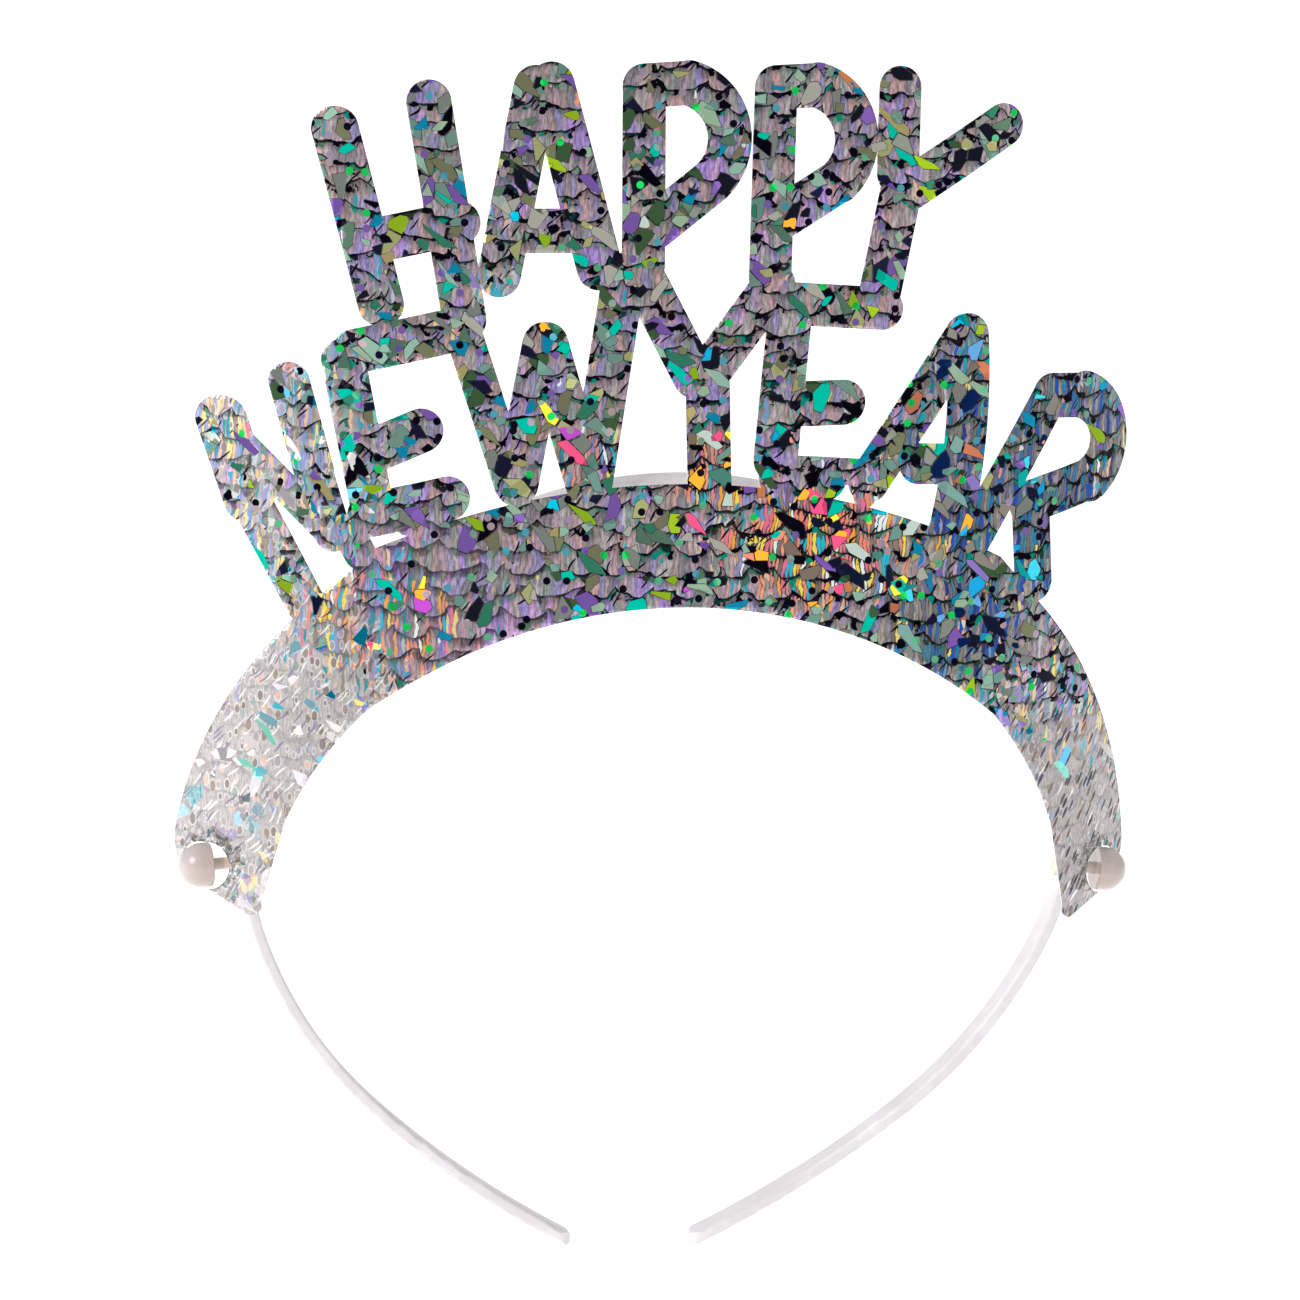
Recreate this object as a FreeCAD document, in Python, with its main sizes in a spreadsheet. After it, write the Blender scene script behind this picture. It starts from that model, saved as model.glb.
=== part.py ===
"""New year party headband: a springy plastic hair band that carries a die-cut, foil-faced card tiara.

The band is an open hoop in the XZ plane with its two tips at the bottom. A dome-headed stud stands out
of each side of it, and the bent card hangs on both studs by an oval hole in each of its ends, so that
it tilts about the line through the studs. At rest the card leans back against the front of the band.

Frame: millimetres, +Z up, -Y to the front, and the origin midway between the two studs, which is also
the middle of the head opening.
"""
import FreeCAD, Part
import math
import os

V = FreeCAD.Vector

SAME_LENGTH = 1e-6  # lengths that differ by less are equal
LEAST_VOLUME = 1e-3  # a cut that takes off less than this has missed

# ---------------------------------------------------------------------------------- driving dimensions
SIZES = [
    # hair band: tangent arcs from the crown to the tip, the same on both sides
    ("crown_radius", 69.0, "centre line radius over the top"),
    ("crown_angle", 64.5, "degrees swept by the crown arc on each side"),
    ("shoulder_radius", 42.0, "tighter bend beside the head"),
    ("shoulder_angle", 49.0, "degrees swept"),
    ("cheek_radius", 74.0, "bend below the studs"),
    ("cheek_angle", 26.0, "degrees swept"),
    ("tail_radius", 166.0, "nearly straight lower arm"),
    ("tail_angle", 13.5, "degrees swept"),
    ("crown_height", 62.0, "centre line at the top, above the stud axis"),
    ("band_width", 4.4, "front to back"),
    ("band_thickness", 2.0, "across the strip"),
    ("band_edge_round", 0.6, "rounding of the long edges"),
    # studs, square to the band, with lengths from the band's centre line outwards
    ("stud_splay", 5.5, "degrees that the studs point below level"),
    ("stem_radius", 0.95, "plain shank of the stud"),
    ("stem_clearance", 0.03, "gap round the shank in the band"),
    ("rivet_radius", 1.7, "flat head inside the band"),
    ("rivet_thickness", 0.6, "flat head inside the band"),
    ("rivet_gap", 0.05, "flat head to the hollow inner face of the band"),
    ("dome_face", 5.2, "flat side of the dome"),
    ("dome_radius", 3.45, "dome head"),
    ("dome_skirt", 1.6, "straight part of the dome head"),
    ("dome_rim_round", 0.3, "rounding of the rim of the flat side"),
    # card tiara, bent round a vertical roller: a flat front and two tighter sides
    ("front_bend", 700.0, "bend radius of the middle of the card"),
    ("front_half_run", 38.0, "length along the card from its middle to the side bends"),
    ("side_bend", 62.0, "bend radius of the two sides"),
    ("card_reach", 72.0, "how far out the card's face passes the stud's dome"),
    ("card_forward", 0.9, "how far the card's face is in front of the stud axis there"),
    ("card_end", 78.0, "how far out the bent sheet is made before it is cut"),
    ("film_thickness", 0.1, "laminated foil face"),
    ("board_thickness", 0.3, "card behind the foil"),
    ("card_lean", 8.0, "degrees that the card leans back at rest"),
    ("hole_radius", 3.65, "oval stud hole in each end of the card"),
    ("hole_front", 0.1, "front centre of the oval, outwards along the card from card_reach"),
    ("hole_back", 1.3, "rear centre of the oval, likewise"),
    ("hole_rise", 0.0, "hole centre above the stud axis"),
    ("sheet_top", 135.0, "height of the bent sheet before it is cut"),
    ("sheet_bottom", 15.0, "depth of the bent sheet below the stud axis before it is cut"),
    # crescent under the letters
    ("crescent_top", 61.5, "upper edge at the middle"),
    ("crescent_top_radius", 120.0, "upper edge"),
    ("crescent_low", 42.4, "lower edge at the middle"),
    ("crescent_low_radius", 84.0, "lower edge"),
    ("crescent_shoulder", 50.0, "half width at which both edges turn down into the ends"),
    # letters: round-ended strokes
    ("stroke_radius", 3.4, "half width of a letter stroke"),
]

# Letter strokes on the card, as (start, end) or (start, point on the way, end) in x and z, and then how
# much thicker or thinner than the usual stroke. Neighbouring letters run into each other and into the
# crescent, which holds the tiara together.
STROKES = {
    "first_h": [
        ((-58, 114.5), (-50.4, 88), 0.0),
        ((-44.4, 119.1), (-37.7, 86), 0.0),
        ((-52.5, 97.5), (-39.2, 100.8), 0.0),
    ],
    "first_a": [
        ((-28.1, 121.8), (-32.6, 93), 0.0),
        ((-25.6, 122.2), (-17, 94.6), 0.2),
        ((-27.3, 117.8), (-26.4, 117.8), 1.0),
        ((-31, 99.8), (-20, 100.1), 0.0),
    ],
    "first_p": [
        ((-11.1, 122.5), (-10.1, 95), 0.0),
        ((-11.1, 122.5), (-4, 123.1), 0.0),
        ((-4, 123.1), (2.4, 117), (0.2, 108.2), 0.1),
        ((0.2, 108.2), (-8.5, 101), 0.1),
    ],
    "second_p": [
        ((9.8, 122.8), (10.1, 93.5), 0.0),
        ((9.8, 122.8), (16.5, 123.3), 0.0),
        ((16.5, 123.3), (22.9, 116.5), (20.6, 108.7), 0.1),
        ((20.6, 108.7), (12, 103.1), 0.0),
    ],
    "first_y": [
        ((29.8, 123.2), (30, 110), 0.0),
        ((47.1, 117.8), (31.2, 107.1), 0.0),
        ((31, 109.5), (28, 92), 0.0),
    ],
    "lower_n": [
        ((-72.3, 69.2), (-68.1, 56.8), 0.1),
        ((-68.1, 57.2), (-59.6, 41.4), -0.5),
        ((-72.2, 68.3), (-56, 52), -1.2),
        ((-63.2, 75.6), (-59.2, 62), -0.5),
        ((-59.2, 62), (-56.1, 52.5), -0.7),
        ((-54, 53), (-52, 49.5), -1),
    ],
    "first_e": [
        ((-55.6, 79.3), (-50.6, 57), -0.2),
        ((-53.8, 80.7), (-41, 84), 0.0),
        ((-52, 65), (-43.7, 68.9), 0.0),
        ((-50.8, 55.7), (-39.2, 58.6), 0.0),
        ((-45.2, 54.8), (-40, 56.4), -1.3),
    ],
    "lower_w": [
        ((-38.3, 85.4), (-29.3, 61), -0.55),
        ((-25.2, 82.6), (-28.6, 61), 0.0),
        ((-24.8, 82.6), (-17.7, 61.5), 0.0),
        ((-13.1, 93.5), (-17, 61), 0.0),
    ],
    "second_y": [
        ((-10.7, 94.3), (-1.3, 78.1), 0.0),
        ((10.8, 92.5), (1, 78.8), 0.0),
        ((0.7, 79.3), (1.8, 61.5), 0.1),
    ],
    "second_e": [
        ((13.6, 89), (12.2, 65.5), 0.15),
        ((14, 89.6), (28.5, 89.1), -0.1),
        ((13, 74), (22.8, 74.5), 0.1),
        ((13, 62.8), (20.4, 62.6), 0.0),
        ((20, 63.9), (25.5, 63.7), -1.3),
    ],
    "second_a": [
        ((42.2, 85.2), (27.4, 62.2), -0.1),
        ((27.2, 61.5), (26.9, 60), -1.5),
        ((42.7, 85.1), (43.2, 73), (41.1, 55), 0.1),
        ((35.5, 65.1), (42, 65.1), -0.2),
    ],
    "lower_r": [
        ((57.8, 75.8), (44.9, 53.3), -0.2),
        ((58, 75.7), (64.3, 75.6), 0.1),
        ((64.3, 75.6), (69.5, 69.7), (66.4, 62.5), 0.4),
        ((66.5, 62.5), (54.5, 59), 0.0),
        ((55, 58.5), (56.1, 46.7), 0.0),
    ],
}

# Right-hand end of the crescent, from its upper edge round the ear with the stud hole to its lower edge.
# A segment of two points is straight and one of three is an arc.
EAR_OUTER = [(55.5, 45), (69, 28.5), (76.5, 5.5)]
EAR_HEEL = [(76.5, 5.5), (76, 1), (73, -3)]
EAR_BASE = [(73, -3), (67, -6.5)]
EAR_TOE = [(67, -6.5), (65.5, -7), (64.5, -5)]
EAR_FRONT = [(64.5, -5), (61.5, 8)]
EAR_THROAT = [(61.5, 8), (57, 17)]  # goes on to the crescent's lower edge

doc = FreeCAD.newDocument("party_headband")


# ------------------------------------------------------------------------------------------ the sheet
def make_sheet():
    sizes = doc.addObject("Spreadsheet::Sheet", "Sizes")
    for row, (alias, value, note) in enumerate(SIZES, start=1):
        sizes.set("A%d" % row, alias)
        sizes.set("B%d" % row, repr(value))
        sizes.set("C%d" % row, note)
        sizes.setAlias("B%d" % row, alias)
    doc.recompute()
    return sizes


sheet = make_sheet()


def size(alias):
    return float(getattr(sheet, alias))


def bind(obj, prop, formula):
    """Ties a property to the sheet, as in bind(pad, "Length", "band_width / 2")."""
    aliases = [alias for alias, _value, _note in SIZES]
    words = ["Sizes." + word if word in aliases else word for word in formula.split()]
    obj.setExpression(prop, " ".join(words))


# ------------------------------------------------------------------------------------------ hair band
def band_chain():
    """Centre line of the right half from the crown to the tip: (centre, radius, start, end) per arc.

    Both angles are those of the outward normal, in radians from +X in the XZ plane.
    """
    arcs = []
    normal = math.pi / 2
    radius = size("crown_radius")
    centre = (0.0, size("crown_height") - radius)
    for name in ("crown", "shoulder", "cheek", "tail"):
        shift = radius - size(name + "_radius")
        centre = (centre[0] + shift * math.cos(normal), centre[1] + shift * math.sin(normal))
        radius = size(name + "_radius")
        end = normal - math.radians(size(name + "_angle"))
        arcs.append((centre, radius, normal, end))
        normal = end
    return arcs


def on_arc(centre, radius, angle):
    return (centre[0] + radius * math.cos(angle), centre[1] + radius * math.sin(angle))


def arc_through(points, side=1):
    """An arc in a sketch's own plane; side is 1 for the right half and -1 for its mirror image."""
    return Part.Arc(*[V(side * x, y, 0) for x, y in points])


def line_between(start, end, side=1):
    return Part.LineSegment(V(side * start[0], start[1], 0), V(side * end[0], end[1], 0))


def band_tip():
    """End of the right half's centre line, and the angle of the outward normal there."""
    centre, radius, _start, end = band_chain()[-1]
    return on_arc(centre, radius, end), end


def stud_seat():
    """Where the right stud's axis crosses the band's centre line, and that axis's angle."""
    axis = -math.radians(size("stud_splay"))
    centre, radius, _start, _end = next(arc for arc in band_chain() if arc[3] <= axis <= arc[2])
    return on_arc(centre, radius, axis), axis


def stud_placement(side):
    """Lays a piece that stands on +Z along the stud's axis, pointing outwards."""
    (x, z), axis = stud_seat()
    outwards = V(side * math.cos(axis), 0, math.sin(axis))
    return FreeCAD.Placement(V(side * x, 0, z), FreeCAD.Rotation(V(0, 0, 1), outwards))


def new_sketch(body, name, role):
    sketch = body.newObject("Sketcher::SketchObject", name)
    plane = next(feature for feature in body.Origin.OriginFeatures if feature.Role == role)
    sketch.AttachmentSupport = [(plane, "")]
    sketch.MapMode = "FlatFace"
    return sketch


def pad_strip(body):
    """The bent strip, with half-round ends across its thickness."""
    outline = new_sketch(body, "strip_outline", "XZ_Plane")
    half = size("band_thickness") / 2
    tip, normal = band_tip()
    for side in (1, -1):
        for offset in (half, -half):
            for centre, radius, start, end in band_chain():
                angles = (start, (start + end) / 2, end)
                face = [on_arc(centre, radius + offset, angle) for angle in angles]
                outline.addGeometry(arc_through(face, side))
        cap = [on_arc(tip, half, normal - turn) for turn in (0, math.pi / 2, math.pi)]
        outline.addGeometry(arc_through(cap, side))
    pad = body.newObject("PartDesign::Pad", "strip")
    pad.Profile = outline
    pad.Midplane = True
    bind(pad, "Length", "band_width")
    doc.recompute()
    return pad


def round_tips(body):
    """Cuts a half circle as wide as the strip into each end, seen from below."""
    outline = new_sketch(body, "tip_outline", "XY_Plane")
    half_width = size("band_width") / 2
    spare = half_width / 2
    tip, _normal = band_tip()
    end = tip[0] - size("band_thickness") / 2
    flank = end + half_width
    for side in (1, -1):
        corners = [
            (flank, -half_width),
            (flank, -half_width - spare),
            (end - spare, -half_width - spare),
            (end - spare, half_width + spare),
            (flank, half_width + spare),
            (flank, half_width),
        ]
        for start, stop in zip(corners, corners[1:]):
            outline.addGeometry(line_between(start, stop, side))
        outline.addGeometry(arc_through([corners[-1], (end, 0), corners[0]], side))
    trim = body.newObject("PartDesign::Pocket", "tip_trim")
    trim.Profile = outline
    trim.Type = "ThroughAll"
    doc.recompute()
    return trim


def round_edges(body, strip):
    """Rounds the edges of the strip's two flat sides, all the way round them."""
    half_width = size("band_width") / 2
    side_edges = []
    for index, edge in enumerate(strip.Shape.Edges, start=1):
        middle = edge.valueAt((edge.FirstParameter + edge.LastParameter) / 2)
        runs_across = abs(edge.Vertexes[0].Y - edge.Vertexes[-1].Y) > half_width
        if abs(abs(middle.y) - half_width) < SAME_LENGTH and not runs_across:
            side_edges.append("Edge%d" % index)
    rounding = body.newObject("PartDesign::Fillet", "edge_rounding")
    rounding.Base = (strip, side_edges)
    bind(rounding, "Radius", "band_edge_round")
    doc.recompute()
    return rounding


def bore_for_stud(body, name, side):
    """The hole that the stud's shank is pressed through, square to the band."""
    bore = body.newObject("PartDesign::SubtractiveCylinder", name)
    bind(bore, "Radius", "stem_radius + stem_clearance")
    bind(bore, "Height", "band_thickness * 2")
    place = stud_placement(side)
    place.move(place.Rotation.multVec(V(0, 0, -size("band_thickness"))))
    bore.Placement = place
    doc.recompute()
    return bore


def make_headband():
    body = doc.addObject("PartDesign::Body", "headband")
    strip = pad_strip(body)
    steps = [strip, round_edges(body, strip), round_tips(body)]
    for name, side in (("left_bore", -1), ("right_bore", 1)):
        steps.append(bore_for_stud(body, name, side))
    for before, after in zip(steps, steps[1:]):
        if after.Shape.Volume > before.Shape.Volume - LEAST_VOLUME:
            raise SystemExit(after.Label + " removes nothing")
    return body


# ---------------------------------------------------------------------------------------------- studs
def turned_piece(name, kind, foot, sizes):
    """A cylinder or sphere on the Z axis: foot is its height on the axis, sizes its bound properties."""
    piece = doc.addObject(kind, name)
    for prop, formula in sizes.items():
        bind(piece, prop, formula)
    bind(piece, "Placement.Base.z", foot)
    return piece


def make_stud(label, side):
    """Flat inner head, shank through the band, and the dome outside, all on one axis."""
    under_band = "band_thickness / 2 + rivet_gap"
    pieces = [
        turned_piece(
            label + "_rivet",
            "Part::Cylinder",
            "0 - ( " + under_band + " + rivet_thickness )",
            {"Radius": "rivet_radius", "Height": "rivet_thickness"},
        ),
        turned_piece(
            label + "_shank",
            "Part::Cylinder",
            "0 - ( " + under_band + " )",
            {"Radius": "stem_radius", "Height": under_band + " + dome_face"},
        ),
        turned_piece(
            label + "_skirt",
            "Part::Cylinder",
            "dome_face",
            {"Radius": "dome_radius", "Height": "dome_skirt"},
        ),
        turned_piece(
            label + "_cap",
            "Part::Sphere",
            "dome_face + dome_skirt",
            {"Radius": "dome_radius"},
        ),
    ]
    pieces[-1].Angle1 = 0
    whole = doc.addObject("Part::MultiFuse", label + "_whole")
    whole.Shapes = pieces
    whole.Refine = True
    whole.Placement = stud_placement(side)
    doc.recompute()

    face = whole.Placement.multVec(V(0, 0, size("dome_face")))
    rim = next(
        index
        for index, edge in enumerate(whole.Shape.Edges, start=1)
        if isinstance(edge.Curve, Part.Circle)
        and abs(edge.Curve.Radius - size("dome_radius")) < SAME_LENGTH
        and edge.Curve.Center.distanceToPoint(face) < SAME_LENGTH
    )
    stud = doc.addObject("Part::Fillet", label)
    stud.Base = whole
    stud.Edges = [(rim, size("dome_rim_round"), size("dome_rim_round"))]
    doc.recompute()
    return stud


# -------------------------------------------------------------------------------------------- outline
def on_front(points):
    """Puts (x, z) points in the XZ plane."""
    return [V(x, 0, z) for x, z in points]


def curve_through(points):
    """A line through two points or an arc through three."""
    return Part.Arc(*points) if len(points) == 3 else Part.LineSegment(*points)


def closed_face(curves):
    return Part.Face(Part.Wire([curve.toShape() for curve in curves]))


def stroke_face(points, width):
    """A stroke with round ends along a line or an arc, as a face in the XZ plane."""
    spine = curve_through(on_front(points))
    first, last = spine.FirstParameter, spine.LastParameter
    stations = [first + (last - first) * i / (len(points) - 1) for i in range(len(points))]
    places = [(spine.value(station), spine.tangent(station)[0]) for station in stations]
    left, right = [
        [point + V(-along.z, 0, along.x) * (sign * width) for point, along in places] for sign in (1, -1)
    ]
    start, start_way = places[0]
    end, end_way = places[-1]
    return closed_face(
        [
            curve_through(left),
            Part.Arc(left[-1], end + end_way * width, right[-1]),
            curve_through(right[::-1]),
            Part.Arc(right[0], start - start_way * width, left[0]),
        ]
    )


def crescent_face():
    """The crescent and its two ears, without the stud holes."""
    half = size("crescent_shoulder")
    top, low = size("crescent_top"), size("crescent_low")
    top_radius, low_radius = size("crescent_top_radius"), size("crescent_low_radius")
    top_side = (half, top - top_radius + math.sqrt(top_radius**2 - half**2))
    low_side = (half, low - low_radius + math.sqrt(low_radius**2 - half**2))
    right = [
        [top_side, EAR_OUTER[0]],
        EAR_OUTER,
        EAR_HEEL,
        EAR_BASE,
        EAR_TOE,
        EAR_FRONT,
        EAR_THROAT + [low_side],
    ]

    def mirrored(points):
        return [(-x, z) for x, z in reversed(points)]

    left = [mirrored(points) for points in reversed(right)]
    top_arc = [(-top_side[0], top_side[1]), (0, top), top_side]
    low_arc = [low_side, (0, low), (-low_side[0], low_side[1])]
    outline = [top_arc] + right + [low_arc] + left
    return closed_face([curve_through(on_front(points)) for points in outline])


def tiara_outline():
    """The letters and the crescent run together, as one face in the XZ plane."""
    faces = []
    for strokes in STROKES.values():
        for stroke in strokes:
            points, extra = stroke[:-1], stroke[-1]
            faces.append(stroke_face(points, size("stroke_radius") + extra))
    whole = crescent_face().multiFuse(faces).removeSplitter()
    if len(whole.Faces) != 1:
        raise SystemExit("the letters do not all join: %d faces" % len(whole.Faces))
    return whole.Faces[0]


# ----------------------------------------------------------------------------------------- bent sheet
def bend():
    """Plan of the card's front: angle and centre of the front bend, and centre of the right side bend.

    Angles are those of the outward normal, in radians from -Y towards +X. The card's front passes
    the point at x = card_reach and y = -card_forward, where its angle is the last value returned.
    """
    front, side = size("front_bend"), size("side_bend")
    turn = size("front_half_run") / front
    side_x = (front - side) * math.sin(turn)
    reach = math.asin((size("card_reach") - side_x) / side)
    side_centre = V(side_x, side * math.cos(reach) - size("card_forward"), 0)
    front_centre = V(0, side_centre.y + (front - side) * math.cos(turn), 0)
    return turn, front_centre, side_centre, reach


def bend_point(centre, radius, angle, depth, side=1):
    radius -= depth
    return V(side * (centre.x + radius * math.sin(angle)), centre.y - radius * math.cos(angle), 0)


def bent_sheet(front, back):
    """The whole bent sheet between two depths behind the card's front, before it is cut out."""
    turn, front_centre, side_centre, _reach = bend()
    last = math.asin((size("card_end") - side_centre.x) / size("side_bend"))
    surfaces = []
    for depth in (front, back):
        middle = [
            bend_point(front_centre, size("front_bend"), angle, depth) for angle in (-turn, 0, turn)
        ]
        sides = [
            [
                bend_point(side_centre, size("side_bend"), angle, depth, side)
                for angle in (turn, (turn + last) / 2, last)
            ]
            for side in (-1, 1)
        ]
        arcs = [Part.Arc(*reversed(sides[0])), Part.Arc(*middle), Part.Arc(*sides[1])]
        surfaces.append((arcs, sides[0][-1], sides[1][-1]))
    (near, near_left, near_right), (far, far_left, far_right) = surfaces
    edges = [arc.toShape() for arc in near + far]
    edges.append(Part.LineSegment(near_left, far_left).toShape())
    edges.append(Part.LineSegment(near_right, far_right).toShape())
    plan = Part.Face(Part.Wire(Part.__sortEdges__(edges)))
    plan.translate(V(0, 0, -size("sheet_bottom")))
    return plan.extrude(V(0, 0, size("sheet_top") + size("sheet_bottom")))


def stud_hole(side):
    """An oval punch square to the card, for the stud hole in one ear."""
    _turn, _front, _centre, reach = bend()
    centres = [(side * size(name), size("hole_rise")) for name in ("hole_front", "hole_back")]
    depth = 4 * (size("film_thickness") + size("board_thickness"))
    punch = stroke_face(centres, size("hole_radius")).extrude(V(0, 2 * depth, 0))
    seat = V(side * size("card_reach"), -size("card_forward"), 0)
    turned = FreeCAD.Placement(seat, FreeCAD.Rotation(V(0, 0, 1), side * math.degrees(reach)))
    punch.Placement = turned.multiply(FreeCAD.Placement(V(0, -depth, 0), FreeCAD.Rotation()))
    return punch


def make_card_layer(label, outline, front, back):
    depth = size("front_bend")
    block = outline.extrude(V(0, depth, 0))
    block.translate(V(0, -depth / 2, 0))
    layer = bent_sheet(front, back).common(block)
    layer = layer.cut(stud_hole(-1)).cut(stud_hole(1)).removeSplitter()
    if len(layer.Solids) != 1:
        raise SystemExit("%s is %d solids" % (label, len(layer.Solids)))
    feature = doc.addObject("Part::Feature", label)
    feature.Shape = layer.Solids[0]
    feature.Placement = FreeCAD.Placement(V(0, 0, 0), FreeCAD.Rotation(V(1, 0, 0), -size("card_lean")))
    return feature


# -------------------------------------------------------------------------------------------- the hat
def make_all():
    outline = tiara_outline()
    film, board = size("film_thickness"), size("board_thickness")
    return [
        make_headband(),
        make_stud("left_stud", -1),
        make_stud("right_stud", 1),
        make_card_layer("tiara_card", outline, film, film + board),
        make_card_layer("holographic_film", outline, 0.0, film),
    ]


def check_and_write(pieces):
    doc.recompute()
    for obj in doc.Objects:
        if "Invalid" in obj.State or "Error" in obj.State:
            raise SystemExit("%s did not compute: %s" % (obj.Label, obj.State))
    for piece in pieces:
        if piece.Shape.isNull() or not piece.Shape.isValid():
            raise SystemExit(piece.Label + " has no valid shape")
    os.makedirs("parts", exist_ok=True)
    for piece in pieces:
        piece.Shape.exportStep(os.path.join("parts", piece.Label + ".step"))
        box = piece.Shape.BoundBox
        print(
            "%-17s %8.1f mm3  x %.1f to %.1f  y %.1f to %.1f  z %.1f to %.1f"
            % (piece.Label, piece.Shape.Volume, box.XMin, box.XMax, box.YMin, box.YMax, box.ZMin, box.ZMax)
        )


check_and_write(make_all())
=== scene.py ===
"""Looks of the new year party headband: a foil-faced card tiara hung on a white plastic hair band.

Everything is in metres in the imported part's own frame: +Z up, -Y to the front, and the origin midway
between the two studs. The band, the studs and the board keep their CAD meshes. The foil is remade here as
a finely divided sheet, so that its waves and the creases by its holes are real relief.
"""

import math

import bmesh
import bpy
from mathutils import Matrix, Vector, noise


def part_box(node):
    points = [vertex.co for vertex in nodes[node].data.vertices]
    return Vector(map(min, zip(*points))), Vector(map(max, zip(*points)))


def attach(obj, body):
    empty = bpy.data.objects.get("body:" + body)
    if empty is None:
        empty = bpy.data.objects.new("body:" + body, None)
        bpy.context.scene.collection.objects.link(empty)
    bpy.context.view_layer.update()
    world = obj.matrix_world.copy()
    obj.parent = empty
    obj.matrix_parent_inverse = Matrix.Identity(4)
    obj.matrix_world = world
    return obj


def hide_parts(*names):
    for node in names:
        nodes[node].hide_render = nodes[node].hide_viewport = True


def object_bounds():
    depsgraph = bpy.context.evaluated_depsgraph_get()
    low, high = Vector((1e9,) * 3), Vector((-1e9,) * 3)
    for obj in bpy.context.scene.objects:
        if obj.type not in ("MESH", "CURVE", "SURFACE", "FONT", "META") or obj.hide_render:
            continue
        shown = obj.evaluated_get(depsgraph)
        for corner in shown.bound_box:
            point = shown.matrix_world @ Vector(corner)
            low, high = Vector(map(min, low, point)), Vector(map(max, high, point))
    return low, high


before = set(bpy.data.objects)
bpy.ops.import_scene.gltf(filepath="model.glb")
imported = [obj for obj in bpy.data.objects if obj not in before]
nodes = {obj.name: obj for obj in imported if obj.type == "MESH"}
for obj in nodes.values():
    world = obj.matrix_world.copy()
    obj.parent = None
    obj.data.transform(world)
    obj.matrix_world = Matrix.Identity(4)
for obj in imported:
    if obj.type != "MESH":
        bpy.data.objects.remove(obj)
cad_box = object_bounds()

MM = 0.001

# ---------------------------------------------------- the card's bend, in mm, and its lean to the back
FRONT_BEND = 700.0
FRONT_HALF_RUN = 38.0
SIDE_BEND = 62.0
CARD_LEAN = math.radians(8.0)
HOLE_OUT = 72.7  # the middle of the stud hole

# ----------------------------------------------------------------------------- the foil's relief, in mm
GRID = 0.7  # between the cuts that divide the sheet
WAVE_HEIGHT = 0.035
WAVE_SIZE = 5.0
CREASE_HEIGHT = 0.16
CREASE_REACH = 7.5  # from the edge of the hole
HOLE_RADIUS = 3.65
CREASES_ROUND_A_HOLE = 17

# ------------------------------------------ a stud's colours, in mm outwards from the side of the band
CREAM_ENDS = 1.8  # on the shank
GREY_STARTS = 2.4
DOME_STARTS = 3.8
CROWN_STARTS = 6.8  # the painted highlight of the dome's tip is full from here, most of the way to the dome's tip

# ------------------------------------------------------------------------- the foil's pattern, in mm
ROW_HEIGHT = 3.4
SCALLOP_WIDTH = 7.0
SCALLOP_DEPTH = 1.8
FOLD_WIDTH = 0.95
BAR_WIDTH = 0.62
DOT_CELL = 3.0
DOT_RADIUS = 0.6


# ================================================================================== materials: helpers
def paint(red, green, blue):
    """A colour as it looks on a screen, 0 to 255, as the linear colour that a shader wants."""
    linear = []
    for value in (red, green, blue):
        share = value / 255
        linear.append(share / 12.92 if share <= 0.04045 else ((share + 0.055) / 1.055) ** 2.4)
    return (*linear, 1.0)


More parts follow.
